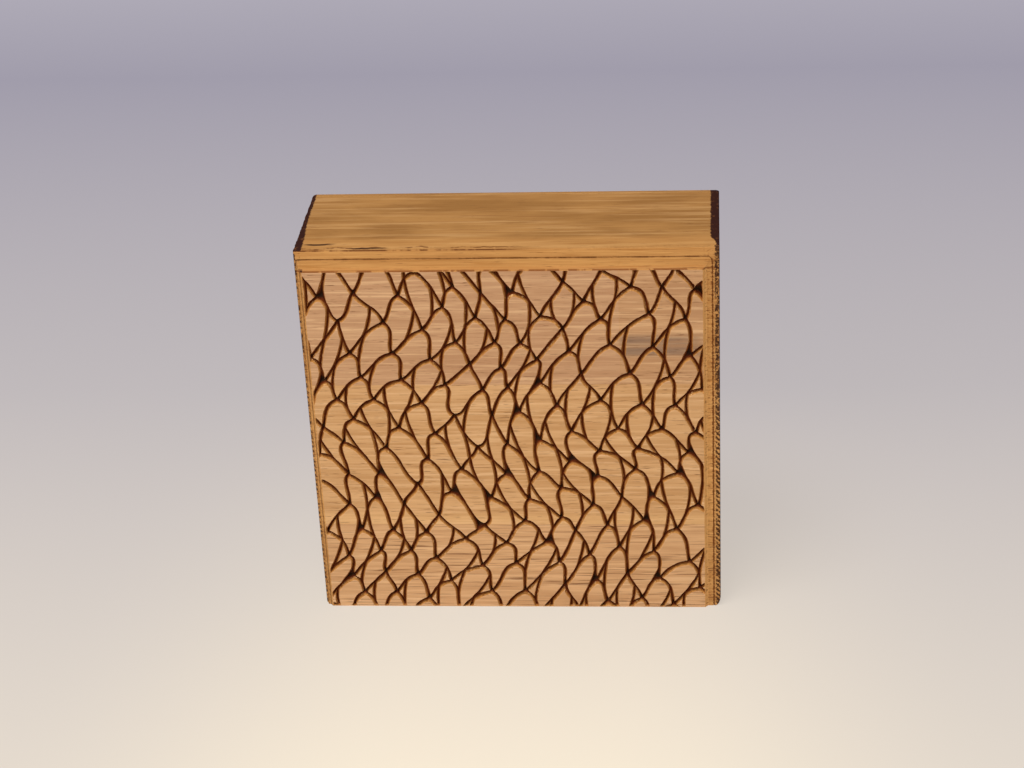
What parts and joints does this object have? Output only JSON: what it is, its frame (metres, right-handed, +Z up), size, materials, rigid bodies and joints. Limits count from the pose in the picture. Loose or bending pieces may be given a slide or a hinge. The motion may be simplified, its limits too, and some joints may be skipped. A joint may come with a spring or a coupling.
{
  "type": "pattern printing block",
  "caption": "Square block of glued oak staves with a leaf-patterned printing face carved in low relief on the front.",
  "frame": {"origin": "centre of the bounding box at the lower long edge, on which the block stands in the picture", "axes": "+X along the grain to the right as seen from the carved face, -Y out of the carved printing face, +Z up"},
  "size_m": [0.1, 0.0338, 0.0994],
  "materials": {
    "oak_lower": "bare oak, long dark pores, sanded printing face",
    "oak_middle": "bare oak, golden, sanded printing face",
    "oak_upper_left": "bare oak, pinkish, sanded printing face",
    "oak_upper_right": "bare oak with a grey mineral streak, sanded printing face",
    "glue": "set wood glue, a brown hairline"
  },
  "bodies": {
    "root": {"lower_stave": "oak_lower", "lower_glue_line": "glue", "middle_stave": "oak_middle", "upper_glue_line": "glue", "upper_left_stave": "oak_upper_left", "end_joint_glue": "glue", "upper_right_stave": "oak_upper_right"}
  },
  "joints": []
}
